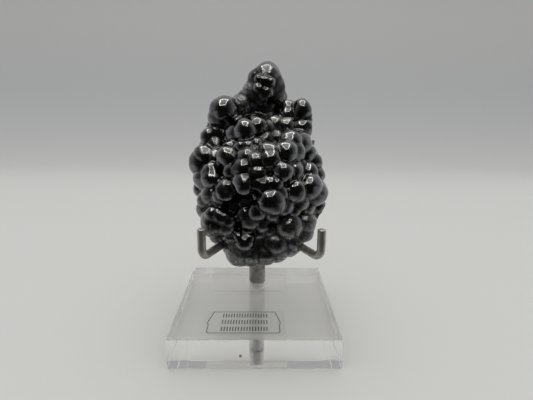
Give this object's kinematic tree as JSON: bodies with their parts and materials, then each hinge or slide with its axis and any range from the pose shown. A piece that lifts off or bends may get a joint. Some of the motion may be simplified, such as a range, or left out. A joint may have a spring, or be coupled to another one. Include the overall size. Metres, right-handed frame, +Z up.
{
  "type": "botryoidal hematite on a display stand",
  "caption": "Rounded, bubbly cluster of mirror-black hematite held upright on a clear square block by a steel post, bent rod arms and a back rest.",
  "frame": {"origin": "middle of the clear block's underside, on the surface that the stand rests on", "axes": "+Z up, -Y towards the front that the rounded lumps face, +X to the right seen from the front"},
  "size_m": [0.0508, 0.0508, 0.0876],
  "materials": {
    "ore": "mirror-black rounded lumps with a metallic lustre, duller on the rough break",
    "clear_block": "polished clear acrylic",
    "label_film": "thin clear film printed with a plain frame and ruled lines",
    "stud_steel": "dull threaded steel",
    "post_steel": "satin drawn steel",
    "rod_steel": "satin nickel-grey wire with warm patches"
  },
  "bodies": {
    "root": {"hematite": "ore", "base": "clear_block", "label": "label_film", "stud": "stud_steel", "post": "post_steel", "arm_left": "rod_steel", "arm_right": "rod_steel", "back_rest": "rod_steel"}
  },
  "joints": []
}
